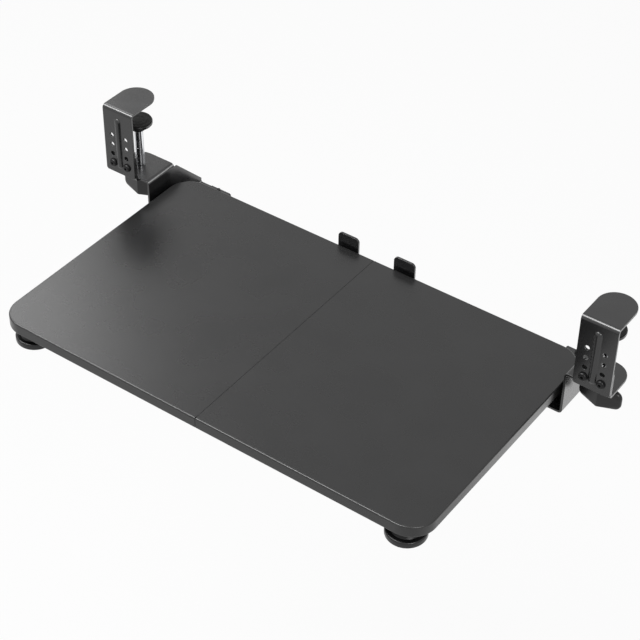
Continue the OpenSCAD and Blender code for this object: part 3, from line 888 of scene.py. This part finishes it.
def hexagon_nut(name, radius, low, high, place, bore):
    """A hexagonal nut with turned corners and a plain bore."""
    piece = turned_blank(name, radius, low, high, place, HEXAGON)
    height = high - low
    envelope = turned_blank(
        name + "_turning", radius * NUT_TURNING_RATIO, low, high, place, NUT_TURNING_CORNERS
    )
    open_mesh(envelope)
    pick(envelope, "FACE", lambda f: abs(f.normal.z) > LEVEL)
    bpy.ops.mesh.bevel(offset=height * NUT_TURNING, segments=NUT_TURNING_STEPS, affect="EDGES")
    close_mesh()
    trim_to(piece, envelope)
    drill = turned_blank(name + "_bore", bore, low - height, high + height, place, NUT_BORE_CORNERS)
    cut_away(piece, drill)
    open_whole(piece)
    bpy.ops.transform.rotate(value=math.pi / 2, orient_axis="Z", center_override=(place[0], place[1], low))
    close_mesh()
    return piece


def make_clamp_nut(side):
    node = side + "_clamp_nut"
    low, high, axis, radius = round_node(node)
    bore = size(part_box(side + "_clamp_rod")).x / 2 + THREAD_GAP
    piece = hexagon_nut(node + "_finished", radius, low.z, high.z, axis, bore)
    hand_over(piece, node, NUT_SMOOTH)


# Feet and soft pads

FOOT_RIM = 7.5 * MM
FOOT_RIM_ROUND = 1.9 * MM
FOOT_RIM_STEPS = 6
FOOT_NECK = 13.5 * MM
FOOT_SHOULDER = 2 * MM
FOOT_SLOPE = 1.6 * MM
FOOT_WELL = 4.9 * MM
FOOT_EDGE = 0.5 * MM
FOOT_EDGE_ANGLE = 40
# Share of the foot's radius beyond which an edge lies on its rim
ON_RIM = 0.99
SOLE_RING_GAPS = (2 * MM, 2.2 * MM, 2.2 * MM)
SOLE_RING_SLOPE = 0.7 * MM
SOLE_RING_DEPTH = 0.45 * MM
SOLE_EDGE = 0.2 * MM
SEAT_EDGE = 0.4 * MM


def make_foot(side):
    """A moulded foot: a rounded rim under a waisted neck, with a well for its screw."""
    node = side + "_foot"
    low, high, axis, radius = round_node(node)
    piece = turned_blank(node + "_finished", radius, low.z, low.z + FOOT_RIM, axis)
    ratio = FOOT_NECK / (FOOT_NECK + FOOT_SHOULDER)
    open_mesh(piece)
    pick(piece, "FACE", faces_up)
    bpy.ops.mesh.inset(thickness=radius - FOOT_NECK - FOOT_SHOULDER)
    extrude(FOOT_SLOPE)
    bpy.ops.transform.resize(value=(ratio, ratio, 1), center_override=(axis.x, axis.y, low.z))
    extrude(high.z - low.z - FOOT_RIM - FOOT_SLOPE)
    pick(piece, "FACE", faces_down)
    bpy.ops.mesh.inset(thickness=radius - FOOT_WELL)
    extrude(FOOT_RIM)
    pick(piece, "EDGE", lambda e: rise(e) < NEAR and all(is_on_rim(v, axis, radius) for v in e.verts))
    bpy.ops.mesh.bevel(offset=FOOT_RIM_ROUND, segments=FOOT_RIM_STEPS, affect="EDGES")
    close_mesh()
    soften(piece, FOOT_EDGE, angle=FOOT_EDGE_ANGLE)
    hand_over(piece, node)


def is_on_rim(vert, axis, radius):
    return math.hypot(vert.co.x - axis.x, vert.co.y - axis.y) > radius * ON_RIM


def make_foot_sole(side):
    """A soft ring with grip grooves under a foot."""
    node = side + "_foot_sole"
    low, high, axis, radius = round_node(node)
    piece = turned_blank(node + "_finished", radius, low.z, high.z, axis)
    open_mesh(piece)
    cut_rings(piece, faces_down, SOLE_RING_GAPS, SOLE_RING_SLOPE, SOLE_RING_DEPTH)
    close_mesh()
    cut_away(piece, turned_blank(node + "_well", FOOT_WELL, low.z - MM, high.z + MM, axis))
    soften(piece, SOLE_EDGE, segments=2, angle=SOFT_EDGE_ANGLE)
    hand_over(piece, node)


def make_soft_seat(side):
    """The soft pad under a hook, with a rounded rim."""
    node = side + "_hook_pad"
    piece = merged_copy(node)
    soften(piece, SEAT_EDGE, angle=SOFT_EDGE_ANGLE)
    hand_over(piece, node)


# Fasteners

SCREW_SMOOTH = 30
# Head radius, head height and shank radius of the screws
PAN_HEAD = (3.4 * MM, 2 * MM, 2 * MM)
PAN_CORNERS = 32
PAN_SHANK_CORNERS = 16
PAN_CROWN = 0.6
PAN_CROWN_STEPS = 4
PAN_SUNK = 0.8
RECESS_REACH = 0.55
RECESS_DEPTH = 0.6
RECESS_ARM = 0.28
RECESS_TAPER = 0.6
# Head height, shank radius and key width of the hook bolts
HOOK_BOLT = (2.75 * MM, 2.5 * MM, 3 * MM)
BUTTON_CORNERS = 40
BOLT_CORNERS = 24
BUTTON_CROWN = 0.75
BUTTON_CROWN_STEPS = 7
BUTTON_SUNK = 0.5
KEY_FLOOR = 0.35
BOLT_EDGE = 0.4 * MM
HOOK_NUT_BORE = 2.5 * MM
CARRIAGE_NUT_BORE = 2 * MM


def solids_of(node):
    """The boxes of a node's separate solids, in the order of their vertices."""
    mesh = bmesh.new()
    mesh.from_mesh(nodes[node].data)
    bmesh.ops.remove_doubles(mesh, verts=mesh.verts, dist=WELD)
    boxes = []
    seen = set()
    for start in mesh.verts:
        if start in seen:
            continue
        seen.add(start)
        group = [start]
        for vert in group:
            others = [edge.other_vert(vert) for edge in vert.link_edges]
            fresh = [other for other in others if other not in seen]
            seen.update(fresh)
            group.extend(fresh)
        low = Vector([min(v.co[i] for v in group) for i in range(3)])
        high = Vector([max(v.co[i] for v in group) for i in range(3)])
        boxes.append((low, high))
    mesh.free()
    return boxes


def cross_recess(name, place, top, reach, depth, upwards):
    """The arms of a cross-shaped driver recess, as cutters."""
    arms = []
    slim = reach * RECESS_ARM
    for half_x, half_y in ((reach, slim), (slim, reach)):
        low = Vector((place[0] - half_x, place[1] - half_y, top - depth))
        high = Vector((place[0] + half_x, place[1] + half_y, top + depth))
        arm = block_blank(name + "_arm", low, high)
        open_mesh(arm)
        pick(arm, "FACE", lambda f: f.normal.z * upwards < -LEVEL)
        bpy.ops.transform.resize(
            value=(RECESS_TAPER, RECESS_TAPER, 1), center_override=(place[0], place[1], top)
        )
        close_mesh()
        arms.append(arm)
    return arms


def pan_screw(name, low, high, head_radius, head_height, shank_radius, head_down):
    """A pan-head screw with a cross recess, head down or head up."""
    place = middle((low, high))
    sunk = head_height * PAN_SUNK
    if head_down:
        head = turned_blank(name, head_radius, low.z, low.z + head_height, place, PAN_CORNERS)
        shank = turned_blank(name + "_shank", shank_radius, low.z + sunk, high.z, place, PAN_SHANK_CORNERS)
        crown, outward = low.z, -1
    else:
        head = turned_blank(name, head_radius, high.z - head_height, high.z, place, PAN_CORNERS)
        shank = turned_blank(name + "_shank", shank_radius, low.z, high.z - sunk, place, PAN_SHANK_CORNERS)
        crown, outward = high.z, 1
    open_mesh(head)
    pick(head, "FACE", lambda f: f.normal.z * outward > LEVEL)
    bpy.ops.mesh.bevel(offset=head_height * PAN_CROWN, segments=PAN_CROWN_STEPS, affect="EDGES")
    close_mesh()
    reach = head_radius * RECESS_REACH
    depth = head_height * RECESS_DEPTH
    for arm in cross_recess(name + "_recess", place, crown, reach, depth, outward):
        cut_away(head, arm)
    return joined(name, [head, shank])


def make_screws(node):
    """Wood screws, head down: one modelled for the node's first solid and copied to the others."""
    pieces = screw_copies(node, solids_of(node), True)
    hand_over(joined(node + "_finished", pieces), node, SCREW_SMOOTH)


def make_carriage_screws():
    """The front screws stand head up, the rear ones head down."""
    node = "carriage_screws"
    boxes = solids_of(node)
    halfway = middle(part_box(node)).y
    front = [box for box in boxes if middle(box).y < halfway]
    rear = [box for box in boxes if middle(box).y > halfway]
    pieces = screw_copies(node + "_front", front, False) + screw_copies(node + "_rear", rear, True)
    hand_over(joined(node + "_finished", pieces), node, SCREW_SMOOTH)


def screw_copies(name, boxes, head_down):
    """Screws of one kind, one for each box."""
    pattern = pan_screw(name + "_first", *boxes[0], *PAN_HEAD, head_down)
    return with_copies(pattern, boxes, name)


def with_copies(pattern, boxes, name):
    """The pattern, which fills the first box, and a copy of it for each other box."""
    start = middle(boxes[0])
    copies = [copy_at(pattern, middle(box) - start, name + "_copy") for box in boxes[1:]]
    return [pattern, *copies]


def button_bolt(name, low, high, head_height, shank_radius, key_width):
    """A button-head bolt along Y, with its hexagonal socket towards the front."""
    place = middle((low, high))
    length = high.y - low.y
    radius = (high.x - low.x) / 2
    axis = (0, 0)
    head = turned_blank(name, radius, 0, head_height, axis, BUTTON_CORNERS)
    open_mesh(head)
    pick(head, "FACE", faces_up)
    bpy.ops.mesh.bevel(offset=head_height * BUTTON_CROWN, segments=BUTTON_CROWN_STEPS, affect="EDGES")
    close_mesh()
    key_radius = key_width / 2 / math.cos(math.pi / HEXAGON)
    socket_floor = head_height * KEY_FLOOR
    cut_away(head, turned_blank(name + "_socket", key_radius, socket_floor, head_height * 2, axis, HEXAGON))
    shank = turned_blank(
        name + "_shank", shank_radius, head_height - length, head_height * BUTTON_SUNK, axis, BOLT_CORNERS
    )
    soften(shank, BOLT_EDGE, segments=2)
    bolt = joined(name, [head, shank])
    bolt.rotation_euler = (math.pi / 2, 0, 0)
    bolt.location = (place.x, low.y + head_height, place.z)
    apply_place(bolt)
    return bolt


def make_hook_bolts(side):
    node = side + "_hook_bolts"
    boxes = solids_of(node)
    pattern = button_bolt(node + "_first", *boxes[0], *HOOK_BOLT)
    hand_over(joined(node + "_finished", with_copies(pattern, boxes, node)), node, SCREW_SMOOTH)


def lying_nut(name, low, high):
    """A nut of a hook bolt, with its axis along Y."""
    place = middle((low, high))
    piece = hexagon_nut(name, (high.x - low.x) / 2, low.y, high.y, (0, 0), HOOK_NUT_BORE)
    piece.rotation_euler = (-math.pi / 2, 0, 0)
    piece.location = (place.x, 0, place.z)
    apply_place(piece)
    return piece


def standing_nut(name, low, high):
    """A nut of a carriage screw."""
    place = middle((low, high))
    return hexagon_nut(name, (high.x - low.x) / 2, low.z, high.z, place, CARRIAGE_NUT_BORE)


def make_nuts(node, one_nut):
    """A nut for each of the node's solids, made by the given function."""
    made = [one_nut(node + "_one", low, high) for low, high in solids_of(node)]
    hand_over(joined(node + "_finished", made), node, NUT_SMOOTH)


# Putting the object together

finish_sheet()
finish_slide_plastics()
for side in SIDES:
    make_board(side)
    make_edge_band(side)
    make_clamp_rod(side)
    make_knob(side)
    make_clamp_pad(side)
    make_pad_face(side)
    make_clamp_nut(side)
    make_foot(side)
    make_foot_sole(side)
    make_soft_seat(side)
    make_hook_bolts(side)
    make_nuts(side + "_hook_nuts", lying_nut)
make_nuts("carriage_nuts", standing_nut)
for node in ("runner_screws", "joint_screws", "stop_screws", "foot_screws"):
    make_screws(node)
make_carriage_screws()


# Stage, light and camera

FLOOR_Z = -0.75
FLOOR_SIZE = 30
FLOOR_GREY = 0.9
FLOOR_ROUGHNESS = 0.9
# Share of the floor that shows as plain white, which leaves the rest to the shadow
FLOOR_GLOW = 0.94
AMBIENT = 0.12
LENS = 100
SENSOR = 36
CAMERA_PLACE = (0.7989, -1.1676, 1.0601)
CAMERA_TURN = (49.646, -0.701, 35.794)
CLAMP_SHEET = [side + kind for side in SIDES for kind in ("_hook", "_bracket")]


def seen_rays(tree):
    """1 for rays that show the background: camera, glossy and transmission rays."""
    path = add_node(tree, "ShaderNodeLightPath")
    first = add_node(tree, "ShaderNodeMath", operation="MAXIMUM")
    second = add_node(tree, "ShaderNodeMath", operation="MAXIMUM")
    tree.links.new(path.outputs["Is Camera Ray"], first.inputs[0])
    tree.links.new(path.outputs["Is Glossy Ray"], first.inputs[1])
    tree.links.new(first.outputs[0], second.inputs[0])
    tree.links.new(path.outputs["Is Transmission Ray"], second.inputs[1])
    return second.outputs[0]


def lay_floor():
    bpy.ops.object.select_all(action="DESELECT")
    bpy.ops.mesh.primitive_plane_add(size=FLOOR_SIZE, location=(0, 0, FLOOR_Z))
    floor = bpy.context.object
    floor.name = "studio_floor"
    paint = bpy.data.materials.new("pale studio floor")
    paint.use_nodes = True
    tree = paint.node_tree
    shader = tree.nodes["Principled BSDF"]
    shader.inputs["Base Color"].default_value = (FLOOR_GREY, FLOOR_GREY, FLOOR_GREY, 1)
    shader.inputs["Roughness"].default_value = FLOOR_ROUGHNESS
    glow = add_node(tree, "ShaderNodeEmission", Strength=1.0)
    blend = add_node(tree, "ShaderNodeMixShader")
    part = add_node(tree, "ShaderNodeMath", operation="MULTIPLY")
    part.inputs[1].default_value = FLOOR_GLOW
    tree.links.new(seen_rays(tree), part.inputs[0])
    tree.links.new(part.outputs[0], blend.inputs["Fac"])
    tree.links.new(shader.outputs["BSDF"], blend.inputs[1])
    tree.links.new(glow.outputs["Emission"], blend.inputs[2])
    tree.links.new(blend.outputs["Shader"], tree.nodes["Material Output"].inputs["Surface"])
    floor.data.materials.append(paint)


def fill_world(ambient):
    """White where the background is seen, a low even light everywhere else."""
    world = bpy.data.worlds.new("studio")
    bpy.context.scene.world = world
    world.use_nodes = True
    tree = world.node_tree
    background = tree.nodes["Background"]
    strength = add_node(tree, "ShaderNodeMapRange")
    strength.inputs["To Min"].default_value = ambient
    strength.inputs["To Max"].default_value = 1.0
    tree.links.new(seen_rays(tree), strength.inputs["Value"])
    background.inputs["Color"].default_value = (1, 1, 1, 1)
    tree.links.new(strength.outputs["Result"], background.inputs["Strength"])


def softbox(name, place, target, width, height, watts):
    lamp = bpy.data.lights.new(name, "AREA")
    lamp.shape = "RECTANGLE"
    lamp.size = width
    lamp.size_y = height
    lamp.energy = watts
    piece = bpy.data.objects.new(name, lamp)
    bpy.context.scene.collection.objects.link(piece)
    piece.location = place
    aim = Vector(target) - Vector(place)
    piece.rotation_euler = aim.to_track_quat("-Z", "Y").to_euler()
    return piece


def gleam(name, place, target, width, height, watts, only=()):
    """A softbox that shows in reflections only, on every piece or on those of the given nodes."""
    piece = softbox(name, place, target, width, height, watts)
    piece.visible_diffuse = False
    piece.visible_camera = False
    if only:
        group = bpy.data.collections.new(name + "_pieces")
        for node in only:
            group.objects.link(bpy.data.objects[node + "_finished"])
        piece.light_linking.receiver_collection = group


def set_camera():
    camera = bpy.data.cameras.new("photo camera")
    camera.lens = LENS
    camera.sensor_width = SENSOR
    piece = bpy.data.objects.new("photo_camera", camera)
    bpy.context.scene.collection.objects.link(piece)
    piece.location = CAMERA_PLACE
    piece.rotation_euler = [math.radians(a) for a in CAMERA_TURN]
    bpy.context.scene.camera = piece


lay_floor()
fill_world(AMBIENT)
softbox("key_panel", (-0.9, -0.62, 1.5), (-0.9, 0.25, -0.1), 2.0, 0.75, 29)
gleam("sheen_panel", (-0.9, -0.62, 1.52), (-0.9, 0.25, -0.1), 2.0, 0.75, 40)
gleam("rim_panel", (0.75, 0.8, 0.5), (0.1, 0, -0.05), 0.9, 0.5, 8, CLAMP_SHEET)
gleam("low_panel", (0.57, 0.72, -0.74), (0.57, 0.72, 1), 0.7, 0.6, 0.9)
softbox("glow_box", (-1.3, 0.52, 0.95), (-0.2, -0.15, -0.1), 0.6, 0.65, 5)
softbox("corner_box", (1.35, -0.85, 1.05), (0.2, -0.2, -0.1), 0.5, 0.5, 12)
set_camera()
bpy.context.scene.view_settings.view_transform = "Standard"
